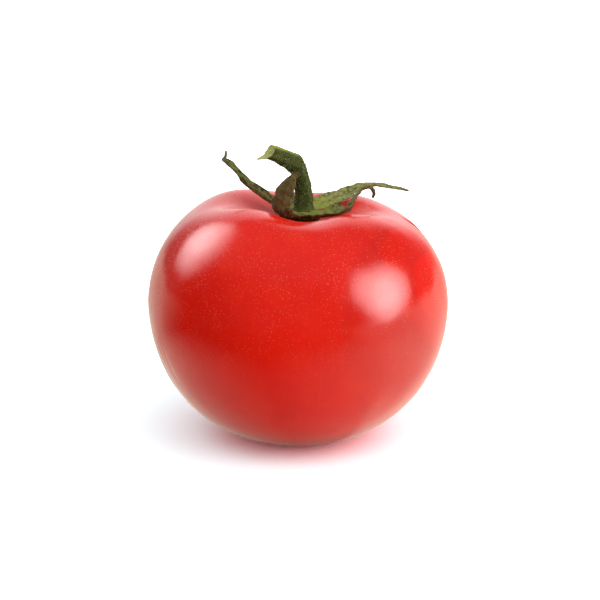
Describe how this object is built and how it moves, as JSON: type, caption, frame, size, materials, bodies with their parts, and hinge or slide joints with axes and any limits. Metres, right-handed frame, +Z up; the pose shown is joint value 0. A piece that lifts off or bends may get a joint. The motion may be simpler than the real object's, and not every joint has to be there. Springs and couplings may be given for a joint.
{
  "type": "tomato",
  "caption": "Ripe round tomato with a green calyx of curled sepals and a short bent cut stem, resting on its flat blossom end.",
  "frame": {"origin": "middle of the flat spot under the fruit that it rests on", "axes": "+Z up through the fruit to the stem, -Y towards the viewer of the picture, +X to the viewer's right"},
  "size_m": [0.068, 0.068, 0.0681],
  "materials": {
    "skin": "smooth, thin and glossy ripe red skin with fine pale specks",
    "sepal": "dull, downy green leaf, browned along the outer faces",
    "stalk": "dull, downy dark green stalk with a pale cut end"
  },
  "bodies": {
    "root": {"fruit": "skin", "calyx": "sepal", "stem": "stalk"}
  },
  "joints": []
}
